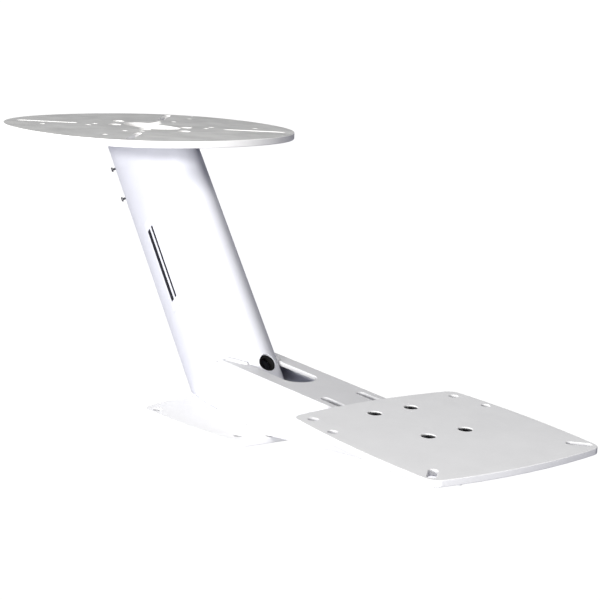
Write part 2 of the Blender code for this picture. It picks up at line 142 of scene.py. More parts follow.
# Finish sizes
PLATE_EDGE = 0.0011
HOLE_EDGE = 0.0005
WEB_EDGE = 0.0007
FLANGE_EDGE = 0.0015
SPIGOT_EDGE = 0.001
CABLE_HOLE_EDGE = 0.0012
FILM_T = 0.0003
PRINT_T = 0.0001
SINK = 0.0002           # how far a web's foot sinks into the deck plate
WEB_RISE = 0.0052       # how far a web rises into the arm's top
COPE_OVERLAP = 0.0005   # how far the arm's top runs into the mast

# Weld beads: radii, ripples, and how far a bead's middle lies off the faces it joins
BEAD_R = 0.0028
ARM_BEAD_R = 0.0036
SEAM_BEAD_R = 0.0024
BEAD_PITCH = 0.0022
POINTS_PER_RIPPLE = 6
BEAD_TAPER_POINTS = 10
DECK_BEAD_LIFT = 0.0008
ARM_BEAD_LIFT = 0.0002
MAST_BEAD_OFF = 0.0010
ARM_BEAD_OFF = 0.0012
WEB_BEAD_OFF = 0.0006
SEAM_INSET = 0.0022

# Stage
STAGE_GLOW = 1.05
DOME_R = 18.0
FLOOR_REACH = 13.0
FLOOR_Z = -0.002
BOUNCE_REACH = 9.0
BOUNCE_Z = -0.004
BOUNCE_COLOUR = (0.26, 0.26, 0.34)
WORLD_COLOUR = (0.90, 0.91, 1.0)
WORLD_STRENGTH = 0.24

# Lights: azimuth from +X and elevation in degrees, distance, size, power and colour
LIGHT_TARGET = Vector((0.0, 0.0, 0.12))
LIGHTS = {
    "key_high": (-75.0, 12.0, 14.0, 1.4, 1450.0, (1.0, 1.0, 1.0)),
    "key_low": (-61.0, 3.0, 14.0, 1.4, 1550.0, (1.0, 1.0, 1.0)),
    "upper": (-40.0, 50.0, 2.2, 1.1, 31.0, (1.0, 0.99, 0.97)),
    "rear_fill": (146.0, 4.0, 5.0, 1.6, 330.0, (1.0, 1.0, 1.0)),
}

# Camera: azimuth, elevation and roll in degrees, place, and lens in millimetres
CAMERA_ANGLES = (54.609, 12.107, 2.513)
CAMERA_PLACE = (1.5734, -1.0458, 0.5756)
CAMERA_LENS = 84.355


# Outlines: each function gives a closed list of points

def arc(centre, radius, start, end, steps):
    """Points on an arc, with both its ends."""
    angles = [start + (end - start) * i / steps for i in range(steps + 1)]
    return [(centre[0] + radius * math.cos(a), centre[1] + radius * math.sin(a)) for a in angles]


def circle(x, y, radius, steps=48):
    return arc((x, y), radius, 0.0, 2 * math.pi, steps)[:-1]


def turned(point, angle, offset=(0.0, 0.0)):
    c, s = math.cos(angle), math.sin(angle)
    return (offset[0] + point[0] * c - point[1] * s, offset[1] + point[0] * s + point[1] * c)


def slot(x, y, length, width, angle=0.0, steps=24):
    """A slot with round ends, centred on x, y."""
    reach = (length - width) / 2
    ends = arc((reach, 0), width / 2, -math.pi / 2, math.pi / 2, steps)
    ends += arc((-reach, 0), width / 2, math.pi / 2, 3 * math.pi / 2, steps)
    return [turned(point, angle, (x, y)) for point in ends]


def bulged(start, end, sagitta, steps=8):
    """Points from start to end on a shallow arc that bulges to the right, without its end."""
    start, end = Vector(start), Vector(end)
    chord = end - start
    outward = Vector((chord.y, -chord.x)).normalized()
    shares = [i / steps for i in range(steps)]
    return [start + chord * s + outward * sagitta * 4 * s * (1 - s) for s in shares]


def rounded(points, corner_ids, radius, steps=10):
    """Replaces each corner of a counter-clockwise outline by a round of the given radius."""
    outline = []
    for i, point in enumerate(points):
        if i not in corner_ids:
            outline.append(point)
            continue
        before = (points[i - 1] - point).normalized()
        after = (points[(i + 1) % len(points)] - point).normalized()
        half = before.angle(after) / 2
        centre = point + (before + after).normalized() * radius / math.sin(half)
        first = point + before * radius / math.tan(half) - centre
        last = point + after * radius / math.tan(half) - centre
        turn = math.atan2(first.x * last.y - first.y * last.x, first.dot(last))
        start = math.atan2(first.y, first.x)
        outline += [Vector(p) for p in arc(centre, radius, start, start + turn, steps)]
    return outline


def bulged_quad(rear, front, sagittas, radius):
    """A plate mirrored about the X axis. Its rear, side and front edges bulge."""
    corners = [(rear.x, -rear.y), (front.x, -front.y), (front.x, front.y), (rear.x, rear.y)]
    bulges = [sagittas[1], sagittas[2], sagittas[1], sagittas[0]]
    points = []
    corner_ids = []
    for i, corner in enumerate(corners):
        corner_ids.append(len(points))
        points += bulged(corner, corners[(i + 1) % 4], bulges[i])
    return rounded(points, corner_ids, radius)


def mast_oval(offset=0.0, stretch=1.0, steps=24):
    """The mast's section: two small nose arcs joined by two large side arcs."""
    nose_x = MAST_HALF_LENGTH - MAST_NOSE_R
    side_r, side_y = mast_side()
    meet = math.atan2(side_y, nose_x)
    half = arc((nose_x, 0), MAST_NOSE_R + offset, -meet, meet, steps)
    half += arc((0, -side_y), side_r + offset, meet, math.pi - meet, steps)[1:-1]
    whole = half + [(-x, -y) for x, y in half]
    return [(x * stretch, y) for x, y in whole]


def mast_side():
    """The radius of the mast's side arcs, and how far their centres lie from its middle."""
    nose_x = MAST_HALF_LENGTH - MAST_NOSE_R
    rise = MAST_HALF_WIDTH ** 2 - MAST_NOSE_R ** 2
    radius = (nose_x ** 2 + rise) / (2 * (MAST_HALF_WIDTH - MAST_NOSE_R))
    return radius, radius - MAST_HALF_WIDTH


def mast_section(height, offset=0.0, steps=24):
    """The mast's level section at a height, as points in place."""
    centre = MAST_AXIS_X + (TOP_Z - height) * math.tan(RAKE)
    return [(x + centre, y) for x, y in mast_oval(offset, 1 / math.cos(RAKE), steps)]


def rectangle(low_x, high_x, low_y, high_y):
    """The four corners, counter-clockwise from the lowest."""
    return [Vector((low_x, low_y)), Vector((high_x, low_y)),
            Vector((high_x, high_y)), Vector((low_x, high_y))]


def four(places):
    """Repeats places given for one quarter in all four quarters, each place once."""
    found = []
    for x, y in places:
        for place in ((x, y), (-x, y), (-x, -y), (x, -y)):
            if place not in found:
                found.append(place)
    return found


# Materials

def link(tree, source, target):
    tree.links.new(source, target)


def noise(tree, scale, detail, stretch=None):
    """A noise texture in the object's own metres, finer along an axis whose stretch is above 1."""
    texture = tree.nodes.new("ShaderNodeTexNoise")
    texture.inputs["Scale"].default_value = scale
    texture.inputs["Detail"].default_value = detail
    coords = tree.nodes.new("ShaderNodeTexCoord")
    source = coords.outputs["Object"]
    if stretch is not None:
        mapping = tree.nodes.new("ShaderNodeMapping")
        mapping.inputs["Scale"].default_value = stretch
        link(tree, source, mapping.inputs["Vector"])
        source = mapping.outputs["Vector"]
    link(tree, source, texture.inputs["Vector"])
    return texture.outputs["Fac"]


def spread(tree, source, low, high):
    """Maps a noise value's middle range onto low to high."""
    node = tree.nodes.new("ShaderNodeMapRange")
    node.inputs["From Min"].default_value = 0.3
    node.inputs["From Max"].default_value = 0.7
    node.inputs["To Min"].default_value = low
    node.inputs["To Max"].default_value = high
    link(tree, source, node.inputs["Value"])
    return node.outputs["Result"]


def blend_colours(tree, factor, first, second):
    node = tree.nodes.new("ShaderNodeMix")
    node.data_type = "RGBA"
    node.inputs["A"].default_value = (*first, 1.0)
    node.inputs["B"].default_value = (*second, 1.0)
    link(tree, factor, node.inputs["Factor"])
    return node.outputs["Result"]


def bump(tree, shader, source, strength, distance):
    node = tree.nodes.new("ShaderNodeBump")
    node.inputs["Strength"].default_value = strength
    node.inputs["Distance"].default_value = distance
    link(tree, source, node.inputs["Height"])
    link(tree, node.outputs["Normal"], shader.inputs["Normal"])


def new_material(name):
    material = bpy.data.materials.new(name)
    material.use_nodes = True
    return material, material.node_tree, material.node_tree.nodes["Principled BSDF"]


def powder_coat(name, colour, roughness=0.42, peel=0.35, gloss=0.35, mottle=0.035):
    """White powder coat: clouds of a slightly darker shade, orange peel and uneven gloss."""
    material, tree, shader = new_material(name)
    shade = tuple(c * (1.0 - mottle) for c in colour)
    clouds = spread(tree, noise(tree, scale=26.0, detail=5.0), 0.0, 1.0)
    link(tree, blend_colours(tree, clouds, colour, shade), shader.inputs["Base Color"])
    patches = spread(tree, noise(tree, scale=60.0, detail=3.0), roughness - 0.05, roughness + 0.06)
    link(tree, patches, shader.inputs["Roughness"])
    shader.inputs["Specular IOR Level"].default_value = gloss
    bump(tree, shader, noise(tree, scale=520.0, detail=2.0), strength=peel, distance=0.00012)
    return material


def turned_steel(name, colour, roughness):
    """Machined stainless steel with fine scratches."""
    material, tree, shader = new_material(name)
    shader.inputs["Metallic"].default_value = 1.0
    grain = noise(tree, scale=900.0, detail=3.0, stretch=(1.0, 1.0, 8.0))
    dark = tuple(c * 0.8 for c in colour)
    link(tree, blend_colours(tree, grain, colour, dark), shader.inputs["Base Color"])
    link(tree, spread(tree, grain, roughness - 0.07, roughness + 0.1), shader.inputs["Roughness"])
    bump(tree, shader, grain, strength=0.15, distance=0.00005)
    return material


def black_oxide(name):
    """Blackened bolt steel with a dull, slightly patchy surface."""
    material, tree, shader = new_material(name)
    patches = noise(tree, scale=350.0, detail=4.0)
    colour = blend_colours(tree, patches, (0.006, 0.006, 0.007), (0.022, 0.022, 0.024))
    link(tree, colour, shader.inputs["Base Color"])
    shader.inputs["Metallic"].default_value = 0.6
    link(tree, spread(tree, patches, 0.32, 0.5), shader.inputs["Roughness"])
    bump(tree, shader, patches, strength=0.2, distance=0.00006)
    return material


def black_rubber(name):
    """Matt moulded rubber with a fine bloom."""
    material, tree, shader = new_material(name)
    bloom = noise(tree, scale=420.0, detail=5.0)
    colour = blend_colours(tree, bloom, (0.004, 0.004, 0.004), (0.012, 0.012, 0.012))
    link(tree, colour, shader.inputs["Base Color"])
    link(tree, spread(tree, bloom, 0.75, 0.9), shader.inputs["Roughness"])
    shader.inputs["Specular IOR Level"].default_value = 0.08
    bump(tree, shader, bloom, strength=0.25, distance=0.0001)
    return material


def cast_alloy(name):
    """Sand-cast aluminium, machined on its faces."""
    material, tree, shader = new_material(name)
    shader.inputs["Metallic"].default_value = 1.0
    grit = noise(tree, scale=700.0, detail=5.0)
    colour = blend_colours(tree, grit, (0.55, 0.56, 0.58), (0.68, 0.69, 0.71))
    link(tree, colour, shader.inputs["Base Color"])
    link(tree, spread(tree, grit, 0.42, 0.6), shader.inputs["Roughness"])
    bump(tree, shader, grit, strength=0.3, distance=0.0001)
    return material


def film(name, colour, roughness):
    """Vinyl film with a very slight waviness."""
    material, tree, shader = new_material(name)
    waves = noise(tree, scale=90.0, detail=2.0)
    shade = tuple(c * 0.97 for c in colour)
    link(tree, blend_colours(tree, waves, colour, shade), shader.inputs["Base Color"])
    link(tree, spread(tree, waves, roughness, roughness + 0.06), shader.inputs["Roughness"])
    bump(tree, shader, waves, strength=0.1, distance=0.0001)
    return material


# Copies of one white powder coat: each piece's lightness is set to how brightly that piece is lit, and
# the mast's is tinted bluish like its shade, so the differences between pieces are painted light and
# shade.
DECK_COAT = powder_coat("deck_coat", (0.83, 0.83, 0.83))
MAST_COAT = powder_coat("mast_coat", (0.62, 0.625, 0.66), roughness=0.36, peel=0.2)
ARM_COAT = powder_coat("arm_coat", (0.61, 0.61, 0.615))
# Bluish copy of the arm's coat for the faces inside the arm, set to the tone they take in shade:
# painted shade.
INNER_PAINTED_SHADE = powder_coat("arm_inner_painted_shade", (0.66, 0.67, 0.74), roughness=0.6, peel=0.6)
LOWER_COAT = powder_coat("lower_platform_coat", (0.70, 0.70, 0.70))
# The upper platform's top faces get a darker copy and all its other faces a near-white copy, standing
# in for a dim top and brightly lit edges: painted shade and painted light. The top's strong clouds are
# its own mottling.
TOP_MOTTLE_AND_SHADE = powder_coat("upper_platform_top_mottle_and_shade", (0.68, 0.68, 0.66), roughness=0.5, peel=0.6, mottle=0.22)
EDGE_PAINTED_LIGHT = powder_coat("platform_edge_painted_light", (0.94, 0.935, 0.91), roughness=0.5)
ALLOY = cast_alloy("cast_alloy")
STEEL = turned_steel("stainless_steel", (0.62, 0.62, 0.63), roughness=0.28)
OXIDE = black_oxide("black_oxide")
RUBBER = black_rubber("black_rubber")
LABEL_FILM = film("label_film", (0.66, 0.665, 0.70), roughness=0.30)
SCREW_STEEL = turned_steel("dull_steel", (0.16, 0.16, 0.17), roughness=0.36)
PRINT_FILM = film("label_print", (0.006, 0.006, 0.008), roughness=0.50)


# Solids

def add(name, mesh):
    obj = bpy.data.objects.new(name, mesh)
    bpy.context.scene.collection.objects.link(obj)
    return obj


def prism(name, outlines, low, high, edge=PLATE_EDGE):
    """A flat piece between two heights with all its edges rounded, the holes' edges too."""
    data = bpy.data.curves.new(name + "_outline", "CURVE")
    data.dimensions = "2D"
    data.fill_mode = "BOTH"
    data.extrude = (high - low) / 2 - edge
    data.bevel_depth = edge
    data.offset = -edge
    data.bevel_resolution = 2
    for outline in outlines:
        add_spline(data, [(p[0], p[1], 0.0) for p in outline], closed=True)
    curve = add(name + "_outline", data)
    curve.location.z = (low + high) / 2
    return mesh_from_curve(name, curve)


def add_spline(data, points, closed, radii=None):
    spline = data.splines.new("POLY")
    spline.points.add(len(points) - 1)
    for i, (point, place) in enumerate(zip(spline.points, points)):
        point.co = (*place, 1.0)
        point.radius = radii[i] if radii else 1.0
    spline.use_cyclic_u = closed


def mesh_from_curve(name, curve):
    """The curve's mesh with its caps welded on, in the curve's place."""
    bpy.context.view_layer.update()
    evaluated = curve.evaluated_get(bpy.context.evaluated_depsgraph_get())
    mesh = bpy.data.meshes.new_from_object(evaluated)
    mesh.transform(curve.matrix_world)
    mesh.name = name
    bm = bmesh.new()
    bm.from_mesh(mesh)
    bmesh.ops.remove_doubles(bm, verts=bm.verts, dist=0.000001)
    bmesh.ops.recalc_face_normals(bm, faces=bm.faces)
    bm.to_mesh(mesh)
    bm.free()
    bpy.data.objects.remove(curve, do_unlink=True)
    return add(name, mesh)


def turned_solid(name, profile, steps=40):
    """A solid turned about Z from points of radius and height, listed top to bottom."""
    mesh = bpy.data.meshes.new(name)
    bm = bmesh.new()
    verts = [bm.verts.new((r, 0, z)) for r, z in profile]
    for first, second in zip(verts, verts[1:]):
        bm.edges.new((first, second))
    bmesh.ops.spin(bm, geom=bm.verts[:] + bm.edges[:], cent=(0, 0, 0), axis=(0, 0, 1),
                   angle=2 * math.pi, steps=steps, use_merge=True)
    bmesh.ops.remove_doubles(bm, verts=bm.verts, dist=0.000001)
    bmesh.ops.recalc_face_normals(bm, faces=bm.faces)
    bm.to_mesh(mesh)
    bm.free()
    return add(name, mesh)


def moved(obj, place, axis=(0, 0, 1)):
    """Moves a piece that was made about +Z at the origin to a place and an axis."""
    turn = Vector((0, 0, 1)).rotation_difference(Vector(axis)).to_matrix().to_4x4()
    obj.data.transform(Matrix.Translation(place) @ turn)
    return obj


def rake(obj):
    """Leans an upright piece back, so that its axis is the mast's."""
    lean = Matrix.Identity(4)
    lean[0][2] = -math.tan(RAKE)
    obj.data.transform(Matrix.Translation((MAST_AXIS_X, 0, TOP_Z)) @ lean)
    return obj


def raked_prism(name, offsets, low, high, edge=0.0004):
    """A piece along the mast with level ends. Its outlines are offset from the mast's section."""
    outlines = [mast_oval(offset, 1 / math.cos(RAKE)) for offset in offsets]
    return rake(prism(name, outlines, low - TOP_Z, high - TOP_Z, edge))


def cut(obj, cutters):
    """Cuts a piece with several cutters at once and keeps the result as its mesh."""
    bm = bmesh.new()
    for part in cutters:
        bm.from_mesh(part.data)
        bpy.data.objects.remove(part, do_unlink=True)
    joined = bpy.data.meshes.new("cutters")
    bm.to_mesh(joined)
    bm.free()
    cutter = add("cutters", joined)
    modifier = obj.modifiers.new("cut", "BOOLEAN")
    modifier.operation = "DIFFERENCE"
    modifier.object = cutter
    modifier.solver = "EXACT"
    bpy.context.view_layer.update()
    evaluated = obj.evaluated_get(bpy.context.evaluated_depsgraph_get())
    mesh = bpy.data.meshes.new_from_object(evaluated)
    mesh.materials.clear()
    obj.modifiers.clear()
    obj.data = mesh
    bpy.data.objects.remove(cutter, do_unlink=True)


def flared(name, radius, depth, lift=0.004, edge=HOLE_EDGE):
    """A cutter for a round recess with a rounded mouth. Its mouth is at the origin."""
    profile = [(0.0, lift), (radius + edge, lift), (radius + edge, 0.0)]
    profile += [(radius + edge * (1 - math.sin(a)), -edge * (1 - math.cos(a)))
                for a in (math.pi / 6, math.pi / 3, math.pi / 2)]
    profile += [(radius, -depth), (0.0, -depth)]
    return turned_solid(name, profile, 48)


def finish(obj, material, body="mount", nodes=(), angle=35):
    """Shades a piece, gives it its finish, and has it ride on its body."""
    obj.data.materials.clear()
    obj.data.materials.append(material)
    obj.data.shade_smooth()
    obj.data.set_sharp_from_angle(angle=math.radians(angle))
    weighted = obj.modifiers.new("flat_faces", "WEIGHTED_NORMAL")
    weighted.keep_sharp = True
    weighted.weight = 100
    if nodes:
        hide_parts(*nodes)
    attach(obj, body)
    return obj


def paint_side_light(obj, side, material):
    """Gives the faces that look to one side a second copy of the coat, whose tone stands in for how
    light falls on them: painted light and shade.
    """
    obj.data.materials.append(material)
    for face in obj.data.polygons:
        if face.normal.dot(Vector(side)) > 0.9:
            face.material_index = 1


def mast_frame():
    """The mast's own frame: X across it towards the arm, Z up along its axis."""
    return Matrix.Translation((MAST_AXIS_X, 0, TOP_Z)) @ Matrix.Rotation(-RAKE, 4, "Y")


def bead(name, path, material, radius=BEAD_R):
    """A weld bead along a path: overlapping ripples, thinner at its two ends."""
    points = even_points([Vector(p) for p in path], BEAD_PITCH / POINTS_PER_RIPPLE)
    reach = len(points) - 1
    radii = []
    for i in range(len(points)):
        ripple = 0.90 + 0.10 * abs(math.sin(math.pi * i / POINTS_PER_RIPPLE))
        wander = 0.05 * math.sin(i * 0.043) + 0.04 * math.sin(i * 0.117 + 1.3)
        taper = min(1.0, 0.35 + min(i, reach - i) / BEAD_TAPER_POINTS)
        radii.append((ripple + wander) * taper)
    data = bpy.data.curves.new(name + "_path", "CURVE")
    data.dimensions = "3D"
    data.bevel_depth = radius
    data.bevel_resolution = 2
    data.use_fill_caps = True
    add_spline(data, points, closed=False, radii=radii)
    obj = mesh_from_curve(name, add(name + "_path", data))
    return finish(obj, material, angle=80)


def even_points(path, step):
    """Points a fixed distance apart along a path."""
    lengths = [0.0]
    for first, second in zip(path, path[1:]):
        lengths.append(lengths[-1] + (second - first).length)
    count = max(8, int(lengths[-1] / step))
    points = []
    i = 0
    for k in range(count + 1):
        reach = lengths[-1] * k / count
        while i < len(path) - 2 and lengths[i + 1] < reach:
            i += 1
        share = (reach - lengths[i]) / (lengths[i + 1] - lengths[i])
        points.append(path[i].lerp(path[i + 1], min(1.0, share)))
    return points


# Deck plate, mast and its head

def deck_plate():
    outline = bulged_quad(DECK_REAR, DECK_FRONT, DECK_SAGITTAS, CORNER_R)
    holes = [circle(x, side * y, DECK_HOLE_R) for x, y in DECK_HOLES for side in (-1, 1)]
    cable_x, cable_r = DECK_CABLE_HOLE
    outlines = [outline, *holes, circle(cable_x, 0, cable_r, 64)]
    plate = prism("deck_plate_body", outlines, DECK_LOW.z, DECK_HIGH.z)
    finish(plate, DECK_COAT, nodes=["deck_plate"])


def cable_hole_place():
    """Where the cable hole's axis leaves the mast's nose, and the way it points."""
    frame_now = mast_frame()
    place = frame_now @ Vector((MAST_HALF_LENGTH, 0, CABLE_HOLE_ALONG))
    return place, (frame_now.to_3x3() @ Vector((1, 0, 0))).normalized()


def set_screw_places():
    """Where each set screw's axis leaves the mast's rear flank, and the way it points."""
    nose = Vector((MAST_NOSE_R - MAST_HALF_LENGTH, 0, 0))
    outward = Vector((math.cos(SET_SCREW_ANGLE), math.sin(SET_SCREW_ANGLE), 0))
    frame_now = mast_frame()
    direction = frame_now.to_3x3() @ outward
    return [(frame_now @ (nose + outward * MAST_NOSE_R + Vector((0, 0, along))), direction)
            for along in SET_SCREWS_ALONG]


def mast_column():
    """The mast's tube, drilled for the cable and the set screws."""
    mast = raked_prism("mast_tube", [0.0, -MAST_WALL], MAST_LOW.z, MAST_HIGH.z)
    lift = 0.006
    cable_hole = flared("cable_hole", CABLE_HOLE_R, 0.020, lift, CABLE_HOLE_EDGE)
    cutters = [moved(cable_hole, *cable_hole_place())]
    cutters += [moved(flared("screw_hole", SET_SCREW_HOLE_R, 0.006, lift, 0.0003), place, axis)
                for place, axis in set_screw_places()]
    cut(mast, cutters)
    finish(mast, MAST_COAT, nodes=["mast_column"], angle=28)


def cable_grommet():
    """A rubber lining with a rounded lip, set in the mast's cable hole."""
    place, axis = cable_hole_place()
    lip_r = (GROMMET_R - GROMMET_BORE_R) / 2
    lip = arc((GROMMET_BORE_R + lip_r, GROMMET_LIP_Z), lip_r, 0.0, math.pi, 10)
    foot = (GROMMET_R, GROMMET_FOOT_Z)
    profile = [foot, (GROMMET_R, GROMMET_LIP_Z), *lip[1:], (GROMMET_BORE_R, GROMMET_FOOT_Z), foot]
    ring = moved(turned_solid("cable_grommet_ring", profile, 56), place, axis)
    finish(ring, RUBBER, nodes=["cable_grommet"], angle=40)


def mast_head():
    """The flange under the upper platform, with the spigot that sits inside the mast."""
    half_x, half_y = FLANGE_HALF
    corners = rectangle(-half_x, half_x, -half_y, half_y)
    centre = HEAD_LOW.x + half_x
    outline = [(p[0] + centre, p[1]) for p in rounded(corners, range(4), FLANGE_CORNER_R, 16)]
    passage = slot(TOP_X, 0, *HEAD_PASSAGE, PATTERN_YAW)
    holes = [circle(x, y, HEAD_HOLE_R, 24) for x, y in on_top(four(TOP_SCREWS))]
    low = HEAD_HIGH.z - FLANGE_T
    head = prism("mast_head_flange", [outline, passage, *holes], low, HEAD_HIGH.z, edge=FLANGE_EDGE)
    outer = -MAST_WALL - SPIGOT_GAP
    spigot_walls = [outer, outer - SPIGOT_WALL]
    spigot_top = low + 0.002
    spigot = raked_prism("mast_head_spigot", spigot_walls, HEAD_LOW.z, spigot_top, edge=SPIGOT_EDGE)
    finish(head, ALLOY, nodes=["mast_head"])
    finish(spigot, ALLOY)


def hex_cutter(across, depth, lift=0.003):
    """A six-sided cutter about Z whose mouth is at the origin."""
    radius = across / math.sqrt(3)
    return prism("socket", [circle(0, 0, radius, 6)], -depth, lift, edge=0.0001)


def socket_screw(name, profile, socket):
    """A turned screw with a hexagon socket in its head, whose top is the profile's first point."""
    screw = turned_solid(name, profile, 48)
    cut(screw, [moved(hex_cutter(*socket), (0, 0, profile[0][1]))])
    return screw


def head_profile(radius, height, shank, foot, edge=0.0009, under_edge=0.0003):
    """A cylindrical screw head with a rounded top edge, and its shank."""
    corner = arc((radius - edge, height - edge), edge, math.pi / 2, 0.0, 5)
    return [(0.0, height), *corner, (radius, under_edge), (radius - under_edge, 0.0),
            (shank, 0.0), (shank, foot), (0.0, foot)]


def set_screws():
    """Two small pan-head screws in the mast's rear flank."""
    for i, (place, axis) in enumerate(set_screw_places()):
        node = f"mast_set_screw_{i + 1}"
        screw = socket_screw(node + "_head", SET_SCREW_PROFILE, SET_SCREW_SOCKET)
        finish(moved(screw, place, axis), SCREW_STEEL, nodes=[node])


def wrapped_film(name, across, along, corner, lift, thickness):
    """A thin film on the mast's near flank, with rounded corners, curved with the mast."""
    corners = rectangle(*across, *along)
    mesh = bpy.data.meshes.new(name)
    bm = bmesh.new()
    bm.faces.new([bm.verts.new((p[0], p[1], 0)) for p in rounded(corners, range(4), corner, 8)])
    steps = 16
    for i in range(1, steps):
        place = Vector((across[0] + (across[1] - across[0]) * i / steps, 0, 0))
        geometry = bm.verts[:] + bm.edges[:] + bm.faces[:]
        bmesh.ops.bisect_plane(bm, geom=geometry, plane_co=place, plane_no=(1, 0, 0))
    raised = bmesh.ops.extrude_face_region(bm, geom=bm.faces[:])
    for item in raised["geom"]:
        if isinstance(item, bmesh.types.BMVert):
            item.co.z += thickness
    side_r, side_y = mast_side()
    for vert in bm.verts:
        angle = math.asin(vert.co.x / side_r) - math.pi / 2
        radius = side_r + lift + vert.co.z
        vert.co = (radius * math.cos(angle), side_y + radius * math.sin(angle), vert.co.y)
    bmesh.ops.recalc_face_normals(bm, faces=bm.faces)
    bm.to_mesh(mesh)
    bm.free()
    mesh.transform(mast_frame())
    return add(name, mesh)


def label():
    """A plain film with two plain printed bars, and no lettering."""
    base_lift = 0.0001
    base = wrapped_film("label_film_sheet", LABEL_ACROSS, LABEL_ALONG, 0.002, base_lift, FILM_T)
    finish(base, LABEL_FILM, nodes=["blank_label"])
    for name, across in (("label_bar_wide", WIDE_BAR_ACROSS), ("label_bar_thin", THIN_BAR_ACROSS)):
        bar = wrapped_film(name, across, BARS_ALONG, 0.0008, base_lift + FILM_T, PRINT_T)
        finish(bar, PRINT_FILM)


# Upper platform

def on_top(places):
    """Places in the platform's own pattern, turned and moved onto it."""
    return [turned(place, PATTERN_YAW, (TOP_X, 0)) for place in places]


def top_outline(steps=240):
    """A round plate drawn out slightly at its four slots."""
    points = []
    for i in range(steps):
        angle = 2 * math.pi * i / steps
        dip = (1 - math.cos(4 * (angle - math.pi / 4 - PATTERN_YAW))) / 2
        radius = TOP_R * (1 - TOP_SQUARENESS * dip)
        points.append((TOP_X + radius * math.cos(angle), radius * math.sin(angle)))
    return points


def upper_platform():
    """The round platform with its opening, slots and holes; its top faces are painted darker and its
    edges lighter, as painted shade and painted light.
    """
    outlines = [top_outline(), slot(TOP_X, 0, *TOP_OPENING, PATTERN_YAW)]
    inner, outer, width = TOP_SLOT
    for i in range(4):
        angle = PATTERN_YAW + math.pi / 4 + i * math.pi / 2
        x, y = turned(((inner + outer) / 2, 0), angle, (TOP_X, 0))
        outlines.append(slot(x, y, outer - inner, width, angle))
    outlines += [circle(x, y, TOP_SMALL_HOLE_R, 32) for x, y in on_top(four(TOP_SMALL_HOLES))]
    screws = on_top(four(TOP_SCREWS))
    outlines += [circle(x, y, TOP_SCREW_HOLE_R, 32) for x, y in screws]
    plate = prism("upper_platform_plate", outlines, TOP_LOW.z, TOP_HIGH.z)
    cut(plate, [moved(flared("recess", *TOP_RECESS), (x, y, TOP_Z)) for x, y in screws])
    # Near-white copy on the edges and underside as painted light, darker copy on the top faces as
    # painted shade.
    finish(plate, EDGE_PAINTED_LIGHT, nodes=["upper_platform"])
    paint_side_light(plate, (0, 0, 1), TOP_MOTTLE_AND_SHADE)
    for i, (x, y) in enumerate(screws):
        node = f"platform_screw_{i + 1}"
        low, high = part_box(node)
        foot = TOP_Z - TOP_RECESS[1] + GAP
        profile = head_profile(TOP_HEAD_R, high.z - foot, TOP_SHANK_R, low.z - foot)
        screw = moved(socket_screw(node + "_cap", profile, TOP_SCREW_SOCKET), (x, y, foot))
        finish(screw, STEEL, nodes=[node])


# Arm

def arm_half_width(x):
    """The arm's half width at x. It narrows a little towards its front."""
    return ARM_REAR_Y + (ARM_FRONT_Y - ARM_REAR_Y) * (x - ARM_LOW.x) / (ARM_HIGH.x - ARM_LOW.x)


def arm_top():
    """The arm's top, whose rear is notched by the cable opening and coped round the mast."""
    rear, front = ARM_LOW.x, ARM_HIGH.x
    centre = (ARM_OPENING_X - ARM_OPENING_Y, 0)
    notch = arc(centre, ARM_OPENING_Y, math.pi / 2, -math.pi / 2, 40)
    outline = [(rear, -arm_half_width(rear)), (front, -arm_half_width(front)),
               (front, arm_half_width(front)), (rear, arm_half_width(rear)),
               (rear, ARM_OPENING_Y), *notch, (rear, -ARM_OPENING_Y)]
    length = ARM_SLOT[1] - ARM_SLOT[0]
    slots = [slot(sum(ARM_SLOT) / 2, side * ARM_SLOT_Y, length, BOLT_SLOT_W) for side in (-1, 1)]
    plate = prism("arm_top_plate", [outline, *slots], ARM_LOW.z, ARM_HIGH.z)
    margin = 0.012
    cope = raked_prism("arm_cope", [-COPE_OVERLAP], ARM_LOW.z - margin, ARM_HIGH.z + margin)
    cut(plate, [cope])
    finish(plate, ARM_COAT, nodes=["arm_top"])
    # The underside, inside the arm, gets the bluish copy of the coat as painted shade.
    paint_side_light(plate, (0, 0, -1), INNER_PAINTED_SHADE)


def web_profile():
    """A web seen from the side, as points of x and height. Its underside arches slightly."""
    foot_x, shoulder_x, shoulder_z = WEB_REAR
    foot_z = WEB_FOOT_Z - SINK
    top = ARM_LOW.z + WEB_RISE
    front_x = ARM_HIGH.x - 0.0004
    underside = bulged((WEB_LIFT_X, foot_z), (front_x, WEB_FRONT_FOOT_Z), -WEB_ARCH, 32)
    front = [Vector((front_x, WEB_FRONT_FOOT_Z)), Vector((front_x, top))]
    rear = [Vector((ARM_LOW.x, top)), Vector((ARM_LOW.x - WEB_STEP, ARM_LOW.z - GAP)),
            Vector((shoulder_x, shoulder_z))]
    points = [Vector((foot_x, foot_z)), *underside, *front, *rear]
    front_corner = len(underside) + 1
    shoulder = len(points) - 1
    points = rounded(points, (shoulder,), WEB_SHOULDER_R)
    return rounded(points, (front_corner,), WEB_FRONT_R)


def web_place(side):
    """Stands a flat web profile on its side of the arm. Its outer face is just inside the top's."""
    slope = math.atan2(ARM_REAR_Y - ARM_FRONT_Y, ARM_HIGH.x - ARM_LOW.x)
    upright = Matrix.Rotation(math.pi / 2, 4, "X")
    outer = Matrix.Translation((0, WEB_T, 0)) @ upright if side < 0 else upright
    place = Matrix.Translation((0, side * (arm_half_width(0) - 0.00004), 0))
    return place @ Matrix.Rotation(-side * slope, 4, "Z") @ outer


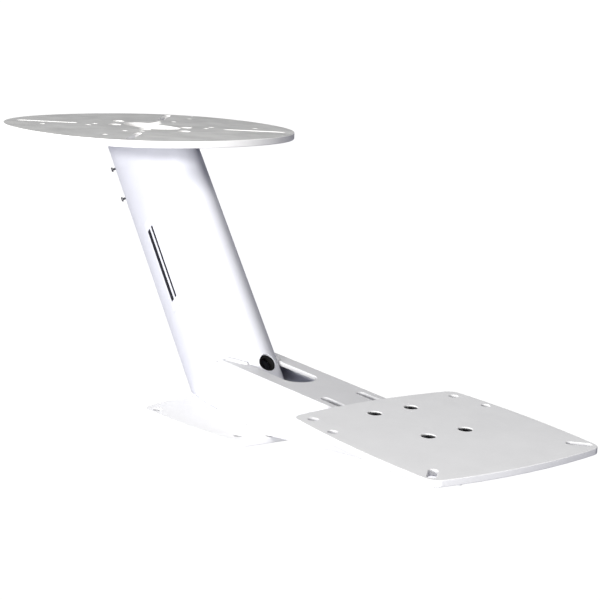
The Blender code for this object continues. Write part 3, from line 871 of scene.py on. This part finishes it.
def arm_webs():
    """The arm's two upright plates, their inner sides given a bluish copy of the coat as painted
    shade.
    """
    for name, side in (("arm_web_near", -1), ("arm_web_far", 1)):
        web = prism(name + "_plate", [web_profile()], 0, WEB_T, edge=WEB_EDGE)
        web.data.transform(web_place(side))
        finish(web, ARM_COAT, nodes=[name])
        # Inner sides get the bluish copy of the coat as painted shade.
        paint_side_light(web, (0, -side, 0), INNER_PAINTED_SHADE)


def arm_end_plate():
    """The stiffener between the webs. It runs a little into them and into the arm's top."""
    low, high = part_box("arm_end_plate")
    half = high.y + 2 * GAP
    outline = rectangle(low.x, high.x, -half, half)
    plate = prism("arm_end_plate_flat", [outline], low.z, high.z + 0.002, edge=0.0008)
    finish(plate, ARM_COAT, nodes=["arm_end_plate"])


# Welds

def mast_runs(height, offset, keep):
    """The mast's level section at a height, as open runs of the points that keep accepts."""
    points = [(x, y, height) for x, y in mast_section(height, offset, 48)]
    starts = [i for i in range(len(points)) if keep(*points[i][:2]) and not keep(*points[i - 1][:2])]
    runs = []
    for start in starts:
        run = []
        i = start
        while keep(*points[i % len(points)][:2]) and len(run) < len(points):
            run.append(points[i % len(points)])
            i += 1
        runs.append(run)
    return runs


def mast_foot_weld():
    """Round the mast's foot, as far back as the deck plate reaches."""
    rear_x = DECK_REAR.x - DECK_SAGITTAS[0] + 0.004
    for run in mast_runs(DECK_HIGH.z + DECK_BEAD_LIFT, MAST_BEAD_OFF, lambda x, y: x > rear_x):
        bead("weld_mast_foot", run, MAST_COAT)


def arm_mast_weld(side, name):
    """On the arm's top, along one flank of the mast, from its rear to the cable opening."""
    def on_flank(x, y):
        return x > ARM_LOW.x and side * y > ARM_OPENING_Y

    for run in mast_runs(ARM_HIGH.z + ARM_BEAD_LIFT, ARM_BEAD_OFF, on_flank):
        bead("weld_arm_mast_" + name, run, ARM_COAT, ARM_BEAD_R)


def web_welds(side, name):
    """Along a web's foot on the deck plate, and up its rear edge on the mast."""
    foot = [(x, side * (arm_half_width(x) + WEB_BEAD_OFF), DECK_HIGH.z + DECK_BEAD_LIFT)
            for x in (WEB_REAR[0] + 0.002, WEB_LIFT_X - 0.004)]
    bead(f"weld_web_deck_{name}", foot, ARM_COAT)
    foot_x, shoulder_x, shoulder_z = WEB_REAR
    rear_edge = [(foot_x, DECK_HIGH.z + 0.002),
                 (shoulder_x + 0.004, shoulder_z - 0.005),
                 (shoulder_x + 0.0005, shoulder_z + 0.001),
                 (shoulder_x + 0.005, shoulder_z + 0.005),
                 (ARM_LOW.x - WEB_STEP, ARM_LOW.z)]
    seam = [(x, side * (arm_half_width(x) - SEAM_INSET), z) for x, z in rear_edge]
    bead(f"weld_web_mast_{name}", seam, ARM_COAT, SEAM_BEAD_R)


def welds():
    mast_foot_weld()
    for side, name in ((-1, "near"), (1, "far")):
        arm_mast_weld(side, name)
        web_welds(side, name)


# Lower platform

def lower_bolt_places():
    return [(x, side * ARM_SLOT_Y) for x in LOWER_BOLTS_X for side in (-1, 1)]


def lower_platform():
    """The square platform with its holes and diagonal slots."""
    rear_corner = Vector((-LOWER_HALF.x, LOWER_HALF.y))
    outline = bulged_quad(rear_corner, LOWER_HALF, LOWER_SAGITTAS, CORNER_R)
    outlines = [[(p[0] + LOWER_X, p[1]) for p in outline]]
    for side in (-1, 1):
        for x, y, radius in LOWER_REAR_HOLES:
            outlines.append(circle(LOWER_X + x, side * y, radius))
        x, y, length, width = LOWER_FRONT_SLOT
        outlines.append(slot(LOWER_X + x, side * y, length, width, side * math.pi / 4))
    outlines += [circle(x, y, BOLT_HOLE_R) for x, y in lower_bolt_places()]
    plate = prism("lower_platform_plate", outlines, LOWER_LOW.z, LOWER_HIGH.z)
    cut(plate, [moved(flared("recess", *LOWER_RECESS), (x, y, LOWER_HIGH.z))
                for x, y in lower_bolt_places()])
    finish(plate, LOWER_COAT, "lower_carriage", ["lower_platform"])


def lower_bolts():
    """Black socket bolts in the lower platform's recesses."""
    for i, (x, y) in enumerate(lower_bolt_places()):
        node = f"lower_platform_bolt_{i + 1}"
        low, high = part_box(node)
        foot = LOWER_HIGH.z - LOWER_RECESS[1] + GAP
        profile = head_profile(BOLT_HEAD_R, high.z - foot, BOLT_R, low.z - foot)
        bolt = moved(socket_screw(node + "_cap", profile, BOLT_SOCKET), (x, y, foot))
        finish(bolt, OXIDE, "lower_carriage", [node])


def nut_bars():
    """Two tapped bars under the arm's top, which ride with the lower platform."""
    for name, side in (("nut_bar_near", -1), ("nut_bar_far", 1)):
        low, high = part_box(name)
        outline = rounded(rectangle(low.x, high.x, low.y, high.y), range(4), NUT_BAR_CORNER_R)
        holes = [circle(x, side * ARM_SLOT_Y, BOLT_HOLE_R) for x in LOWER_BOLTS_X]
        bar = prism(name + "_bar", [outline, *holes], low.z, high.z, edge=0.0006)
        finish(bar, STEEL, "lower_carriage", [name])


# Stage, light and camera

def plane_mesh(name, reach, height):
    mesh = bpy.data.meshes.new(name)
    corners = [(p.x, p.y, height) for p in rectangle(-reach, reach, -reach, reach)]
    mesh.from_pydata(corners, [], [(0, 1, 2, 3)])
    return mesh


def white_stage():
    """A pale floor and dome, plain white to the camera, over a floor that only bounces light."""
    white = bpy.data.materials.new("stage_white")
    white.use_nodes = True
    tree = white.node_tree
    tree.nodes.clear()
    emission = tree.nodes.new("ShaderNodeEmission")
    emission.inputs["Color"].default_value = (1.0, 1.0, 1.0, 1.0)
    emission.inputs["Strength"].default_value = STAGE_GLOW
    output = tree.nodes.new("ShaderNodeOutputMaterial")
    link(tree, emission.outputs["Emission"], output.inputs["Surface"])
    dome_mesh = bpy.data.meshes.new("dome")
    bm = bmesh.new()
    bmesh.ops.create_icosphere(bm, subdivisions=4, radius=DOME_R)
    bm.to_mesh(dome_mesh)
    bm.free()
    for obj in (add("dome", dome_mesh), add("floor", plane_mesh("floor", FLOOR_REACH, FLOOR_Z))):
        obj.data.materials.append(white)
        obj.visible_diffuse = False
        obj.visible_glossy = False
        obj.visible_transmission = False
        obj.visible_shadow = False
    matt, tree, shader = new_material("stage_matt")
    shader.inputs["Base Color"].default_value = (*BOUNCE_COLOUR, 1.0)
    shader.inputs["Roughness"].default_value = 0.9
    bounce = add("floor_bounce", plane_mesh("floor_bounce", BOUNCE_REACH, BOUNCE_Z))
    bounce.data.materials.append(matt)
    bounce.visible_camera = False


def area_light(name, azimuth, elevation, distance, size, power, colour):
    """A round soft light that faces the object from a direction given in degrees."""
    azimuth, elevation = math.radians(azimuth), math.radians(elevation)
    away = Vector((math.cos(azimuth) * math.cos(elevation),
                   math.sin(azimuth) * math.cos(elevation), math.sin(elevation)))
    data = bpy.data.lights.new(name, "AREA")
    data.shape = "DISK"
    data.size = size
    data.energy = power
    data.color = colour
    light = add(name, data)
    light.location = LIGHT_TARGET + away * distance
    light.rotation_euler = away.to_track_quat("Z", "Y").to_euler()
    return light


def lights():
    """Four soft lights and a pale sky. The rear one leaves no reflection on the plates."""
    placed = {name: area_light(name, *values) for name, values in LIGHTS.items()}
    placed["rear_fill"].visible_glossy = False
    world = bpy.data.worlds.new("world")
    world.use_nodes = True
    background = world.node_tree.nodes["Background"]
    background.inputs["Color"].default_value = (*WORLD_COLOUR, 1.0)
    background.inputs["Strength"].default_value = WORLD_STRENGTH
    bpy.context.scene.world = world
    bpy.context.scene.view_settings.view_transform = "Standard"


def camera():
    """Three-quarter view of the near side, slightly rolled."""
    azimuth, elevation, roll = (math.radians(a) for a in CAMERA_ANGLES)
    forward = Vector((-math.sin(azimuth) * math.cos(elevation),
                      math.cos(azimuth) * math.cos(elevation), -math.sin(elevation)))
    right = Vector((math.cos(azimuth), math.sin(azimuth), 0))
    up = right.cross(forward)
    rolled_right = math.cos(roll) * right + math.sin(roll) * up
    rolled_up = math.cos(roll) * up - math.sin(roll) * right
    data = bpy.data.cameras.new("camera")
    data.sensor_width = 36.0
    data.lens = CAMERA_LENS
    data.clip_end = 50.0
    view = add("camera", data)
    place = Matrix((rolled_right, rolled_up, -forward)).transposed().to_4x4()
    place.translation = CAMERA_PLACE
    view.matrix_world = place
    bpy.context.scene.camera = view


deck_plate()
mast_column()
cable_grommet()
mast_head()
set_screws()
label()
upper_platform()
arm_top()
arm_webs()
arm_end_plate()
welds()
lower_platform()
lower_bolts()
nut_bars()
white_stage()
lights()
camera()
